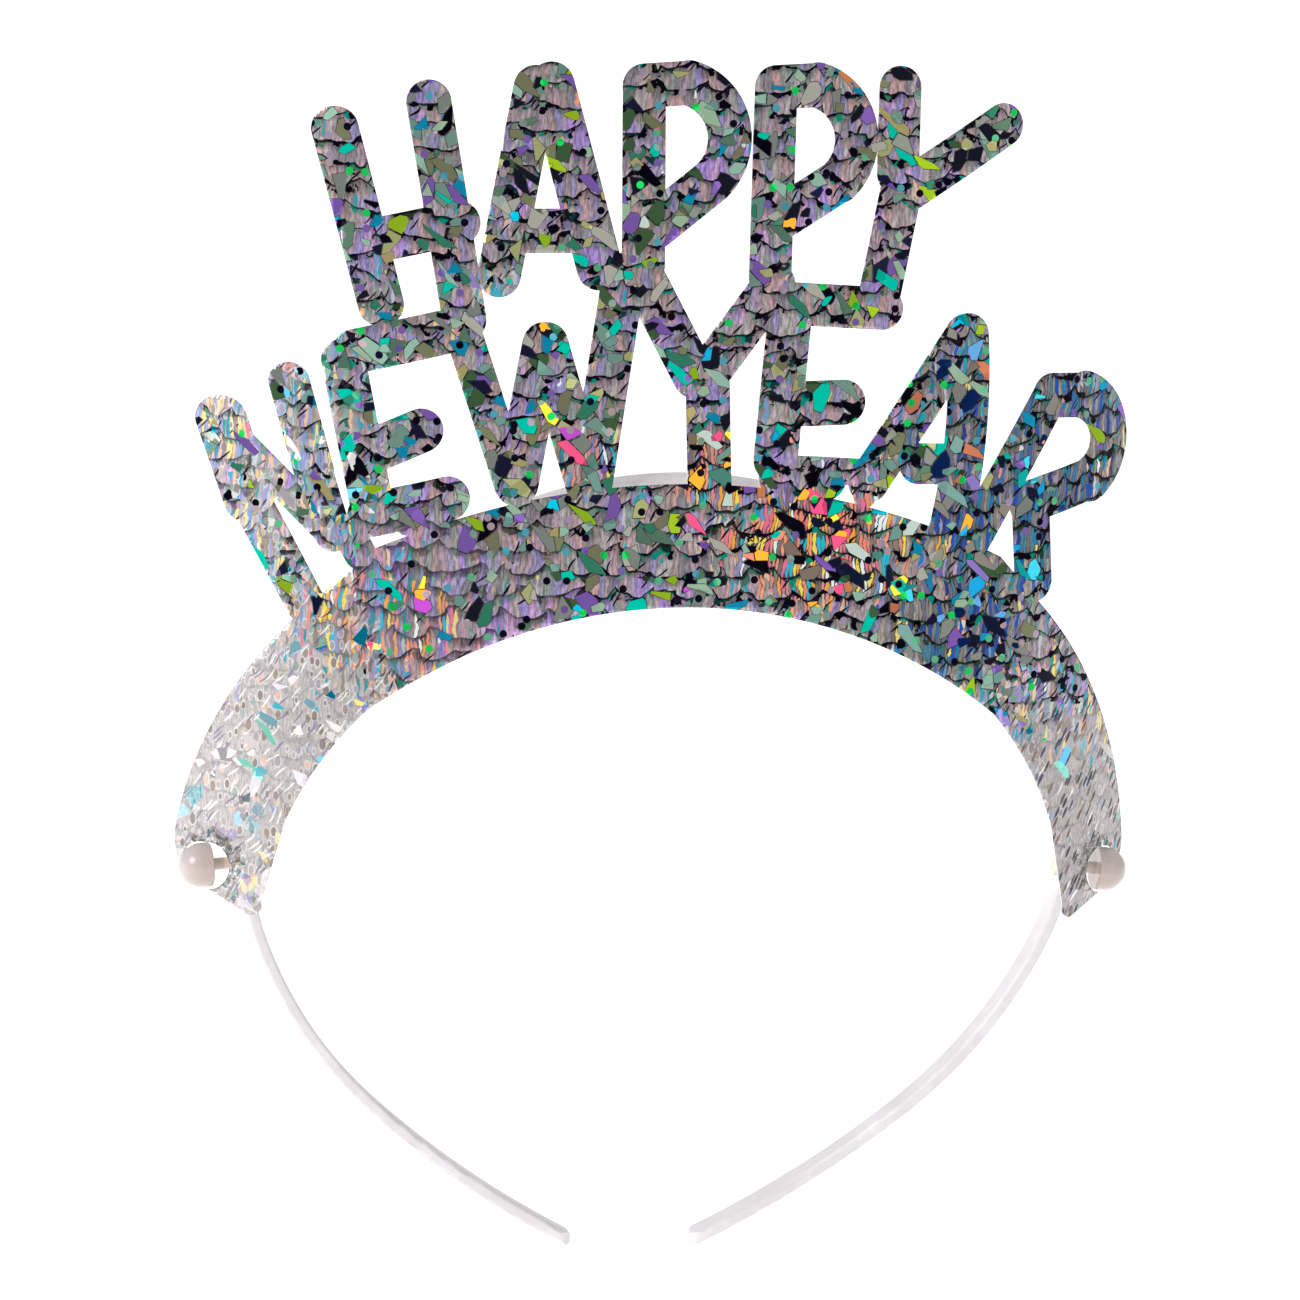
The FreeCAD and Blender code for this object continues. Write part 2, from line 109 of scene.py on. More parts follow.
class Graph:
    """A material's node tree, built by short calls: sockets or plain values go in, sockets come out."""

    def __init__(self, name):
        self.material = bpy.data.materials.new(name)
        self.material.use_nodes = True
        self.tree = self.material.node_tree
        self.tree.nodes.clear()
        output = self.tree.nodes.new("ShaderNodeOutputMaterial")
        self.shader = self.tree.nodes.new("ShaderNodeBsdfPrincipled")
        self.tree.links.new(self.shader.outputs[0], output.inputs[0])

    def node(self, kind, **settings):
        made = self.tree.nodes.new(kind)
        for name, value in settings.items():
            setattr(made, name, value)
        return made

    def put(self, socket, value):
        if isinstance(value, bpy.types.NodeSocket):
            self.tree.links.new(value, socket)
        else:
            socket.default_value = value

    def set(self, **sockets):
        """Sets the shader's inputs; an underscore stands for a space in a socket's name."""
        for name, value in sockets.items():
            self.put(self.shader.inputs[name.replace("_", " ")], value)

    def math(self, operation, *values):
        made = self.node("ShaderNodeMath", operation=operation)
        for socket, value in zip(made.inputs, values):
            self.put(socket, value)
        return made.outputs[0]

    def vector(self, operation, *values):
        made = self.node("ShaderNodeVectorMath", operation=operation)
        for socket, value in zip(made.inputs, values):
            self.put(socket, value)
        return made.outputs["Value" if operation == "LENGTH" else "Vector"]

    def times(self, vector, factor):
        made = self.node("ShaderNodeVectorMath", operation="SCALE")
        self.put(made.inputs["Vector"], vector)
        self.put(made.inputs["Scale"], factor)
        return made.outputs["Vector"]

    def split(self, vector):
        made = self.node("ShaderNodeSeparateXYZ")
        self.put(made.inputs[0], vector)
        return made.outputs

    def join(self, x, y, z=0.0):
        made = self.node("ShaderNodeCombineXYZ")
        for socket, value in zip(made.inputs, (x, y, z)):
            self.put(socket, value)
        return made.outputs[0]

    def blend(self, factor, below, above, how="MIX"):
        """The colour above laid over the one below by the factor."""
        made = self.node("ShaderNodeMix", data_type="RGBA", blend_type=how)
        self.put(made.inputs["Factor"], factor)
        self.put(made.inputs[6], below)
        self.put(made.inputs[7], above)
        return made.outputs[2]

    def fade(self, value, start, end, low=0.0, high=1.0):
        """low before start and high past end, with a smooth change between them."""
        made = self.node("ShaderNodeMapRange", interpolation_type="SMOOTHSTEP")
        for socket, number in zip(made.inputs, (value, start, end, low, high)):
            self.put(socket, number)
        return made.outputs[0]

    def pick(self, value, colours):
        """One of the colours, each with an equal share of the value's range from 0 to 1."""
        made = self.node("ShaderNodeValToRGB")
        made.color_ramp.interpolation = "CONSTANT"
        stops = made.color_ramp.elements
        while len(stops) < len(colours):
            stops.new(1.0)
        for number, colour in enumerate(colours):
            stops[number].position = number / len(colours)
            stops[number].color = colour
        self.put(made.inputs[0], value)
        return made.outputs[0]

    def noise(self, place, size, detail=2.0, roughness=0.5):
        """Cloudy noise, about 0.3 to 0.7, with patches of that size."""
        made = self.node("ShaderNodeTexNoise", noise_dimensions="3D")
        self.put(made.inputs["Vector"], place)
        self.put(made.inputs["Scale"], 1 / size)
        self.put(made.inputs["Detail"], detail)
        self.put(made.inputs["Roughness"], roughness)
        return made.outputs["Fac"]

    def chance(self, place):
        """Three random numbers from 0 to 1 for each place."""
        made = self.node("ShaderNodeTexWhiteNoise", noise_dimensions="3D")
        self.put(made.inputs["Vector"], place)
        return self.split(made.outputs["Color"])

    def attribute(self, name):
        return self.node("ShaderNodeAttribute", attribute_name=name).outputs["Vector"]

    def place(self):
        """The point on the object, in metres."""
        return self.node("ShaderNodeTexCoord").outputs["Object"]

    def turned(self, place, degrees, stretch):
        """place turned about its third axis, and then squeezed so that a cell there comes out that long."""
        made = self.node("ShaderNodeVectorRotate", rotation_type="Z_AXIS")
        self.put(made.inputs["Vector"], place)
        self.put(made.inputs["Angle"], math.radians(degrees))
        return self.vector("MULTIPLY", made.outputs[0], (1.0, 1 / stretch, 1.0))

    def cells(self, place, size, loose=1.0):
        """Random cells: (distance from a cell's point, distance from its edge, its three random numbers)."""
        scaled = self.times(place, 1 / size)
        spots = self.node("ShaderNodeTexVoronoi", voronoi_dimensions="2D", feature="F1")
        edges = self.node("ShaderNodeTexVoronoi", voronoi_dimensions="2D", feature="DISTANCE_TO_EDGE")
        for made in (spots, edges):
            self.put(made.inputs["Vector"], scaled)
            self.put(made.inputs["Scale"], 1.0)
            self.put(made.inputs["Randomness"], loose)
        away = self.math("MULTIPLY", spots.outputs["Distance"], size)
        inside = self.math("MULTIPLY", edges.outputs["Distance"], size)
        return away, inside, self.split(spots.outputs["Color"])

    def bump(self, height, strength, depth, normal=None):
        made = self.node("ShaderNodeBump")
        self.put(made.inputs["Height"], height)
        self.put(made.inputs["Strength"], strength)
        self.put(made.inputs["Distance"], depth)
        if normal is not None:
            self.put(made.inputs["Normal"], normal)
        return made.outputs[0]


# ============================================================================ materials: foil, card, plastic
# Each list is drawn from at random, so a colour that is there twice turns up twice as often.
MAUVES = [paint(166, 145, 158), paint(180, 149, 150), paint(144, 137, 174), paint(132, 126, 134),
          paint(168, 160, 161), paint(140, 148, 145), paint(156, 140, 140)]
VIOLETS = [paint(166, 136, 202), paint(150, 134, 188), paint(186, 150, 190), paint(160, 148, 178)]
# Light greys of the pale zone: painted reflection of the bright studio.
REFLECTION_GREYS = [paint(214, 208, 206), paint(198, 191, 200), paint(224, 218, 214), paint(220, 204, 204),
              paint(206, 206, 206)]
UNDER = [paint(6, 5, 14), paint(10, 8, 20), paint(62, 116, 98), paint(8, 8, 16), paint(18, 60, 58),
         paint(110, 146, 130), paint(12, 10, 26), paint(46, 60, 40), paint(0, 140, 120), paint(30, 22, 44)]
COOL = [paint(122, 154, 138), paint(18, 20, 30), paint(0, 168, 145), paint(132, 158, 134),
        paint(150, 150, 140), paint(54, 80, 52), paint(112, 116, 86), paint(106, 144, 134),
        paint(10, 8, 20), paint(178, 180, 124), paint(124, 160, 146), paint(20, 150, 190),
        paint(136, 100, 186), paint(132, 134, 104), paint(60, 140, 112), paint(190, 178, 122),
        paint(30, 32, 60), paint(142, 150, 142), paint(164, 204, 40), paint(98, 134, 112)]
WARM = [paint(250, 165, 50), paint(226, 130, 110), paint(250, 222, 60), paint(0, 185, 215),
        paint(238, 84, 130), paint(120, 105, 95), paint(204, 84, 214), paint(14, 10, 22),
        paint(232, 144, 96), paint(230, 250, 240), paint(14, 10, 22), paint(128, 92, 190),
        paint(90, 160, 140), paint(24, 30, 60)]
WARM_BARS = [paint(248, 148, 124), paint(136, 116, 106), paint(255, 176, 64), paint(255, 230, 90),
             paint(228, 152, 136), paint(240, 255, 250), paint(30, 196, 224), paint(255, 168, 122),
             paint(150, 130, 120), paint(244, 120, 150)]
BLUE_BARS = [paint(24, 84, 190), paint(56, 112, 170), paint(112, 116, 120), paint(10, 130, 186),
             paint(34, 62, 140), paint(132, 132, 130), paint(74, 134, 160), paint(112, 114, 146),
             paint(150, 146, 138)]
PALE_BARS = [paint(240, 192, 152), paint(152, 140, 120), paint(196, 200, 206), paint(40, 150, 160),
             paint(150, 160, 212), paint(240, 220, 140), paint(0, 170, 190), paint(110, 160, 208),
             paint(134, 176, 164)]
GREYS = [paint(144, 138, 136), paint(154, 144, 136), paint(132, 130, 138), paint(162, 150, 140)]
PALE = [paint(214, 206, 204), paint(60, 150, 165), paint(200, 196, 206), paint(100, 190, 235),
        paint(240, 222, 135), paint(214, 208, 206), paint(168, 145, 214), paint(140, 226, 205),
        paint(188, 184, 190), paint(0, 128, 158), paint(222, 214, 210), paint(150, 200, 215)]
BLUES = [paint(90, 150, 200), paint(60, 195, 215), paint(18, 20, 40), paint(126, 120, 112),
         paint(120, 160, 150), paint(30, 160, 215), paint(140, 139, 134), paint(14, 40, 92),
         paint(215, 130, 100), paint(118, 113, 108), paint(20, 170, 170), paint(140, 120, 196)]
DOTS = [paint(12, 10, 24), paint(90, 176, 130), paint(158, 142, 164), paint(18, 14, 34),
        paint(128, 150, 140), paint(30, 200, 90), paint(80, 160, 180), paint(120, 96, 166),
        paint(16, 14, 30), paint(170, 150, 156)]
OVALS = [paint(152, 130, 112), paint(176, 164, 168), paint(128, 112, 102), paint(226, 184, 160),
         paint(164, 150, 176), paint(150, 168, 166)]
FLECKS = [paint(46, 40, 50), paint(84, 78, 84), paint(128, 110, 92), paint(60, 54, 84),
          paint(158, 142, 126), paint(34, 70, 96), paint(206, 202, 198), paint(96, 84, 76)]
# Painted shade in the crinkles by the stud holes, tinted teal and brown.
CREASE_SHADES = [paint(52, 84, 76), paint(104, 90, 74), paint(40, 104, 108), paint(30, 30, 34),
           paint(150, 136, 120)]
DARK_BETWEEN_BARS = paint(22, 15, 24)
RIM_WHITE = paint(238, 234, 230)
SLASH_DARK = paint(24, 18, 34)
SLASH_LILAC = paint(150, 138, 160)
SLASH_WHITE = paint(238, 234, 232)
LIP_DARK = paint(14, 10, 20)
FLAKE_OUTLINE = paint(26, 22, 34)


# The foil's patches of colour. Each is an oval on the card: its middle and its half sizes in mm, and how
# strong it is from 0 to 1.
# The pale patch is painted reflection of the bright studio, like the rest of the pale zone.
PAINTED_REFLECTION_PATCHES = [((-32.5, 92.0), (8.0, 7.0), 0.55)]
WARM_PATCHES = [((20.0, 54.0), (23.0, 14.0), 1.0), ((-50.0, 41.0), (18.0, 16.0), 0.75),
                ((2.5, 66.0), (9.0, 11.0), 0.85), ((-19.0, 67.0), (13.0, 8.0), 0.595)]
BLUE_PATCHES = [((54.0, 66.0), (34.0, 34.0), 1.0), ((42.0, 42.0), (18.0, 14.0), 1.0)]
SOFT_PATCHES = [((-42.0, 44.0), (30.0, 21.0), 1.0), ((-70.0, 62.0), (12.0, 26.0), 0.85)]

# Cuts of flake: how far it is turned in degrees, how many times longer than wide, the size of its cell in
# mm, the share of the cells that hold one, and the width of its dark outline in mm.
FLAKE_CUTS = [(24.0, 1.6, 2.05, 0.16, 0.10), (-52.0, 2.6, 1.65, 0.16, 0.08), (81.0, 1.3, 1.4, 0.10, 0.08)]


class Foil:
    """The foil's material while it is made: what is known about each point of the foil, and the colour so
    far, which every method after the scales lays one more layer over."""

    def __init__(self):
        g = self.g = Graph("holographic_foil")
        self.flat = g.attribute("foil_place")
        self.drift = g.noise(self.flat, 9.0)
        self.find_zones()

        wobble = g.math("MULTIPLY", g.math("SUBTRACT", g.noise(self.flat, 1.8), 0.5), 1.1)
        self.along, self.up = g.split(g.vector("ADD", self.flat, g.join(wobble, wobble)))[:2]
        self.right_end = g.math("MULTIPLY", g.fade(self.along, 45.0, 58.0), g.fade(self.up, 46.0, 30.0))
        self.soft = self.strongest(self.along, self.up, SOFT_PATCHES)
        self.crisp = g.math("MULTIPLY_ADD", self.soft, -0.62, 1.0)
        self.find_rows()
        self.colour = None

    def strongest(self, along, up, patches):
        """The greatest strength that any of the oval patches has at this point."""
        g = self.g
        share = None
        for middle, reach, strength in patches:
            across = g.math("DIVIDE", g.math("SUBTRACT", along, middle[0]), reach[0])
            rise = g.math("DIVIDE", g.math("SUBTRACT", up, middle[1]), reach[1])
            inside = g.fade(g.vector("LENGTH", g.join(across, rise)), 1.0, 0.35)
            patch = g.math("MULTIPLY", inside, strength)
            share = patch if share is None else g.math("MAXIMUM", share, patch)
        return share

    def find_zones(self):
        """Where the foil is pale, warm and blue: three shares from 0 to 1. The pale zone is painted
        reflection: the card's turned ends are painted pale where the metal foil would mirror the bright
        studio, and the darker middle stands for the darker room in front.
        """
        g = self.g
        along, up = g.split(self.flat)[:2]
        cloud = g.math("MULTIPLY", g.math("SUBTRACT", g.noise(self.flat, 6.0, 3.0), 0.5), 1.5)
        # painted reflection: paler on the card's turned ends, most of all low down and on the left
        side = g.fade(g.math("ABSOLUTE", along), 28.0, 62.0)
        low = g.fade(g.math("MULTIPLY_ADD", along, 0.12, up), 56.0, 18.0)
        high = g.math("MULTIPLY", g.fade(along, -20.0, 20.0, 0.46, 0.2), g.fade(up, 76.0, 96.0, 1.0, 0.3))
        pale = g.math("MULTIPLY", side, g.math("MAXIMUM", low, high))
        pale = g.math("MAXIMUM", pale, self.strongest(along, up, PAINTED_REFLECTION_PATCHES))
        self.painted_reflection = g.math("MULTIPLY_ADD", cloud, 0.25, pale)
        warm = self.strongest(along, up, WARM_PATCHES)
        self.warm = g.math("MAXIMUM", g.math("MULTIPLY_ADD", cloud, 0.6, warm), 0.0)
        self.blue = self.strongest(along, up, BLUE_PATCHES)

    def find_rows(self):
        """The rows of scales, every other one half a scale further along, and the upright folds in them."""
        g = self.g
        plain_row = g.math("FLOOR", g.math("DIVIDE", self.up, ROW_HEIGHT))
        scallops = g.math("MULTIPLY_ADD", plain_row, 0.5, g.math("DIVIDE", self.along, SCALLOP_WIDTH))
        swing = g.math("MULTIPLY_ADD", self.drift, 8.0, g.math("MULTIPLY", scallops, math.pi))
        arch = g.math("ABSOLUTE", g.math("SINE", swing))
        rows = g.math("DIVIDE", g.math("MULTIPLY_ADD", arch, SCALLOP_DEPTH, self.up), ROW_HEIGHT)
        self.row = g.math("FLOOR", rows)
        self.rise = g.math("FRACT", rows)
        folds = g.math("MULTIPLY_ADD", self.drift, 5.0, g.math("DIVIDE", self.along, FOLD_WIDTH))
        self.fold = g.math("ABSOLUTE", g.math("SINE", g.math("MULTIPLY", folds, math.pi)))
        self.fold_chance = g.chance(g.join(g.math("FLOOR", folds), self.row))
        unevenness = g.math("MULTIPLY", g.math("SUBTRACT", self.fold_chance[2], 0.5), 0.35)
        # the share of the pale zone, the painted reflection of the bright studio, at each fold
        self.pale = g.fade(g.math("ADD", self.painted_reflection, unevenness), 0.3, 0.75)

    def lay(self, share, colour, strength=1.0):
        """Lays a colour over the colour so far, wherever the share is 1."""
        if strength != 1.0:
            share = self.g.math("MULTIPLY", share, strength)
        self.colour = self.g.blend(share, self.colour, colour)

    def drawn(self, share, luck, below, above):
        """The colour above wherever the share is greater than that cell's luck."""
        return self.g.blend(self.g.math("GREATER_THAN", share, luck), below, above)

    def start_with_scales(self):
        """The scales' colour, darker towards the row above, and in the pale zone streaky light greys that
        are painted reflection of the bright studio, a little dimmer towards the right end.
        """
        g = self.g
        tint_chance, tint_luck = self.fold_chance[:2]
        streaks = g.noise(g.vector("MULTIPLY", self.flat, (4.0, 0.7, 1.0)), 1.1, 3.0, 0.65)
        folded = g.math("MULTIPLY_ADD", self.fold, 0.46, 0.84)
        shaded = g.fade(self.rise, 0.3, 0.95, 1.0, 0.5)
        streaked = g.fade(streaks, 0.3, 0.7, 0.55, 1.3)
        tone = g.math("MULTIPLY", g.math("MULTIPLY", folded, shaded), streaked)
        violet = g.math("MAXIMUM", g.fade(g.noise(self.flat, 12.0, 1.0), 0.5, 0.64, 0.0, 0.8),
                        g.math("MULTIPLY", self.soft, 0.4))
        tint = self.drawn(violet, tint_luck, g.pick(tint_chance, MAUVES), g.pick(tint_chance, VIOLETS))
        grey = g.math("MULTIPLY", self.blue, 0.85)
        tint = self.drawn(grey, tint_luck, tint, g.pick(tint_chance, GREYS))
        dark_scale = g.blend(1.0, tint, g.join(tone, tone, tone), "MULTIPLY")

        # painted reflection: mottled light greys for the pale zone, dimmed a little towards the right end
        mottle = g.noise(g.turned(self.flat, 40.0, 2.5), 0.55, 3.0, 0.6)
        mottled = g.pick(g.math("FRACT", g.math("MULTIPLY", mottle, 9.0)), REFLECTION_GREYS)
        faint = g.math("MULTIPLY", g.fade(streaks, 0.3, 0.7, 0.6, 0.95),
                       g.fade(self.along, 10.0, 55.0, 1.0, 0.85))
        pale_scale = g.blend(1.0, mottled, g.join(faint, faint, faint), "MULTIPLY")
        self.colour = g.blend(self.pale, dark_scale, pale_scale)

    def add_bars(self):
        """Slim upright bars, bright on dark in the warm and blue patches and faint by the pale zone."""
        g = self.g
        slots = g.math("MULTIPLY_ADD", self.drift, 5.0, g.math("DIVIDE", self.along, BAR_WIDTH))
        luck, hue, turn = g.chance(g.join(g.math("FLOOR", slots), self.row, 1.0))
        bulge = g.math("ABSOLUTE", g.math("SINE", g.math("MULTIPLY", slots, math.pi)))
        middle = g.math("MULTIPLY_ADD", turn, 0.24, 0.32)
        narrowing = g.math("ABSOLUTE", g.math("SUBTRACT", self.rise, middle))
        lens = g.math("GREATER_THAN", bulge, g.math("MULTIPLY_ADD", narrowing, 1.7, 0.14))
        bars = g.pick(hue, PALE_BARS)
        bars = self.drawn(self.blue, luck, bars, g.pick(hue, BLUE_BARS))
        bars = self.drawn(self.warm, luck, bars, g.pick(hue, WARM_BARS))

        fading_out = g.math("MULTIPLY", g.fade(self.painted_reflection, 0.2, 0.45), g.fade(self.painted_reflection, 1.0, 0.5))
        deep = g.math("MAXIMUM", self.warm, g.math("MULTIPLY", self.blue, 0.85))
        bar_share = g.math("MAXIMUM", deep, g.math("MULTIPLY", fading_out, 0.8))
        chosen = g.math("GREATER_THAN", bar_share, turn)
        between = g.math("MULTIPLY", chosen, g.math("MULTIPLY", g.fade(deep, 0.3, 0.7), 0.7))
        self.lay(g.math("MULTIPLY", between, self.crisp), DARK_BETWEEN_BARS)
        self.lay(g.math("MULTIPLY", lens, chosen), bars, 0.9)

    def add_ovals(self):
        """Upright ovals with white rims in the pale zone."""
        g = self.g
        away, _, (luck, hue, swell) = g.cells(g.turned(self.flat, 0.0, 1.8), 1.15)
        share = g.math("MULTIPLY", g.fade(self.painted_reflection, 0.3, 0.6),
                       g.math("MULTIPLY_ADD", self.right_end, -0.42, 0.62))
        here = g.math("LESS_THAN", luck, share)
        radius = g.fade(swell, 0.0, 1.0, 0.2, 0.5)
        rim = g.math("LESS_THAN", away, g.math("ADD", radius, 0.16))
        self.lay(g.math("MULTIPLY", rim, here), RIM_WHITE, 0.45)
        self.lay(g.math("MULTIPLY", g.math("LESS_THAN", away, radius), here), g.pick(hue, OVALS), 0.8)

    def add_slashes(self):
        """Slim slashes that lean right, dark on the scales, and white or lilac in the pale zone."""
        g = self.g
        swirl = g.math("MULTIPLY", g.math("SUBTRACT", self.drift, 0.5), 4.0)
        swirled = g.vector("ADD", self.flat, g.join(swirl, g.math("MULTIPLY", swirl, -0.6)))
        away, _, (luck, hue, _) = g.cells(g.turned(swirled, 38.0, 8.0), 0.7)
        slashes = g.math("MULTIPLY", g.math("LESS_THAN", away, 0.15),
                         g.math("LESS_THAN", luck, g.fade(self.painted_reflection, 0.2, 0.7, 0.2, 0.6)))
        white_share = g.math("MULTIPLY_ADD", self.right_end, -0.35, 0.55)
        pale_slash = self.drawn(white_share, hue, SLASH_LILAC, SLASH_WHITE)
        self.lay(slashes, g.blend(self.pale, SLASH_DARK, pale_slash))

    def add_flecks(self):
        """Dark flecks, leaning right, on the right end of the card."""
        g = self.g
        away, _, (luck, hue, _) = g.cells(g.turned(self.flat, 30.0, 3.6), 0.85)
        flecks = g.math("MULTIPLY", g.math("LESS_THAN", away, 0.27),
                        g.math("LESS_THAN", luck, g.math("MULTIPLY", self.right_end, 0.6)))
        self.lay(flecks, g.pick(hue, FLECKS), 0.85)

    def add_gaps(self):
        """The splintered gap under each row of scales, and the dark line along their round lips."""
        g = self.g
        starts = g.fade(g.noise(self.flat, 1.7, 3.0, 0.6), 0.38, 0.62, 1.04, 0.56)
        gap = g.math("GREATER_THAN", self.rise, starts)
        share = g.math("MULTIPLY", gap, g.fade(self.pale, 0.2, 0.9, 1.0, 0.12))
        _, _, (splinter, _, _) = g.cells(g.turned(self.flat, 20.0, 1.7), 1.3)
        self.lay(g.math("MULTIPLY", share, self.crisp), g.pick(splinter, UNDER))
        lip = g.math("MULTIPLY", g.fade(self.rise, 0.84, 0.92, 0.0, 0.9),
                     g.fade(self.pale, 0.1, 0.7, 1.0, 0.15))
        self.lay(g.math("MULTIPLY", lip, self.crisp), LIP_DARK)

    def add_flakes(self):
        """Flat flakes in three cuts, each with colours that suit its zone. Gives back where they are, and
        how each one is tilted."""
        g = self.g
        everywhere = None
        tilt = None
        thinned = g.math("MULTIPLY", g.fade(self.along, 50.0, 64.0, 1.0, 0.15),
                         g.math("MULTIPLY_ADD", self.soft, -0.5, 1.0))
        strength = g.fade(self.up, 5.0, 22.0, 0.4, 1.0)
        for degrees, stretch, size, share, outline in FLAKE_CUTS:
            _, inside, (luck, draw, turn) = g.cells(g.turned(self.flat, degrees, stretch), size)
            there = g.math("LESS_THAN", luck, g.math("MULTIPLY", thinned, share))
            inset = g.fade(self.painted_reflection, 0.3, 0.8, outline, 2.4 * outline)
            shape = g.math("MULTIPLY", g.math("GREATER_THAN", inside, inset), there)
            self.lay(g.math("MULTIPLY", there, g.fade(self.pale, 0.0, 0.6, 0.75, 0.0)), FLAKE_OUTLINE)
            hue = g.math("FRACT", g.math("MULTIPLY", draw, 7.31))
            shade = g.pick(hue, COOL)
            shade = self.drawn(g.math("MULTIPLY", self.blue, 0.75), turn, shade, g.pick(hue, BLUES))
            shade = self.drawn(g.math("MULTIPLY", self.warm, 0.9), turn, shade, g.pick(hue, WARM))
            shade = self.drawn(self.pale, turn, shade, g.pick(hue, PALE))
            self.lay(g.math("MULTIPLY", shape, strength), shade)
            lean = g.times(g.vector("SUBTRACT", g.join(turn, draw, hue), (0.5, 0.5, 0.5)), shape)
            tilt = lean if tilt is None else g.vector("ADD", tilt, lean)
            everywhere = shape if everywhere is None else g.math("MAXIMUM", everywhere, shape)
        return everywhere, tilt

    def add_dots(self):
        """Round dots, outside the pale zone."""
        g = self.g
        away, _, (luck, hue, _) = g.cells(self.flat, DOT_CELL, 0.85)
        dots = g.math("MULTIPLY", g.math("LESS_THAN", away, DOT_RADIUS),
                      g.math("LESS_THAN", luck, g.fade(self.pale, 0.0, 1.0, 0.4, 0.0)))
        self.lay(dots, g.pick(hue, DOTS))

    def add_crease_shade(self):
        """Painted shade, tinted teal and brown, in the crinkles on the upper inner side of each stud hole;
        the pleats themselves are relief in the sheet.
        """
        g = self.g
        along, up = g.split(self.flat)[:2]
        middle = (run_along_card(HOLE_OUT) - 2.0, 1.5, 0.0)
        from_hole = g.vector("LENGTH", g.vector("SUBTRACT", g.join(g.math("ABSOLUTE", along), up), middle))
        # painted shade: darkens the foil where it crinkles by the hole
        crease_shade = g.math("GREATER_THAN", g.noise(self.flat, 1.0, 5.0, 0.7),
                          g.fade(from_hole, 3.6, 7.5, 0.49, 0.85))
        tint = g.noise(g.turned(self.flat, 50.0, 3.0), 0.6, 3.0)
        self.lay(crease_shade, g.pick(g.fade(tint, 0.3, 0.7), CREASE_SHADES), 0.7)


def foil():
    """Holographic foil: rows of scales with round lower lips and soft upright folds, each row shading the
    dark, splintered gap under it, all strewn with flat coloured flakes, slashes and dots. Its pale zone is
    painted reflection of the bright studio, and the crinkles by the holes carry painted shade."""
    sheet = Foil()
    sheet.start_with_scales()
    sheet.add_bars()
    sheet.add_ovals()
    sheet.add_slashes()
    sheet.add_flecks()
    sheet.add_gaps()
    flakes, tilt = sheet.add_flakes()
    sheet.add_dots()
    sheet.add_crease_shade()

    g = sheet.g
    facing = g.node("ShaderNodeNewGeometry").outputs["Normal"]
    leaning = g.vector("NORMALIZE", g.vector("ADD", facing, g.times(tilt, 0.3)))
    relief = g.math("MULTIPLY", g.math("SUBTRACT", 1.0, sheet.rise),
                    g.math("MULTIPLY_ADD", sheet.fold, 0.4, 0.6))
    relief = g.math("MULTIPLY", relief, g.math("SUBTRACT", 1.0, flakes))
    g.set(Base_Color=sheet.colour, Metallic=1.0,
          Roughness=g.math("MULTIPLY_ADD", flakes, -0.14, 0.32),
          Normal=g.bump(relief, 0.35, 0.12 * MM, leaning))
    return g.material


def board():
    """White card stock: fine fibres, faint mottling, and a coated back that is hardly glossy."""
    g = Graph("white_card")
    place = g.place()
    fibres = g.noise(g.vector("MULTIPLY", place, (1.0, 1.0, 3.5)), 0.35 * MM, 4.0, 0.7)
    mottle = g.noise(place, 6.0 * MM, 3.0)
    shade = g.math("MULTIPLY_ADD", fibres, 0.35, g.math("MULTIPLY", mottle, 0.65))
    g.set(Base_Color=g.blend(g.fade(shade, 0.35, 0.65), paint(222, 219, 216), paint(243, 241, 238)),
          Roughness=g.fade(fibres, 0.3, 0.7, 0.62, 0.82),
          Normal=g.bump(fibres, 0.25, 0.05 * MM))
    g.set(Specular_IOR_Level=0.35)
    return g.material


def band_plastic():
    """Moulded white plastic: a faint lilac cloudiness, long drawn flow lines and a fine grain."""
    g = Graph("white_plastic")
    place = g.place()
    cloud = g.noise(place, 9.0 * MM, 3.0)
    flow = g.noise(g.vector("MULTIPLY", place, (1.0, 6.0, 1.0)), 2.2 * MM, 3.0, 0.6)
    grain = g.noise(place, 0.18 * MM, 2.0)
    shade = g.math("MULTIPLY_ADD", flow, 0.5, g.math("MULTIPLY", cloud, 0.5))
    height = g.math("MULTIPLY_ADD", flow, 0.8, g.math("MULTIPLY", grain, 0.2))
    g.set(Base_Color=g.blend(g.fade(shade, 0.35, 0.65), paint(208, 204, 206), paint(219, 216, 219)),
          Roughness=g.fade(grain, 0.3, 0.7, 0.3, 0.42),
          Normal=g.bump(height, 0.15, 0.05 * MM))
    g.set(Subsurface_Weight=0.15, Subsurface_Scale=0.8 * MM, IOR=1.49)
    return g.material


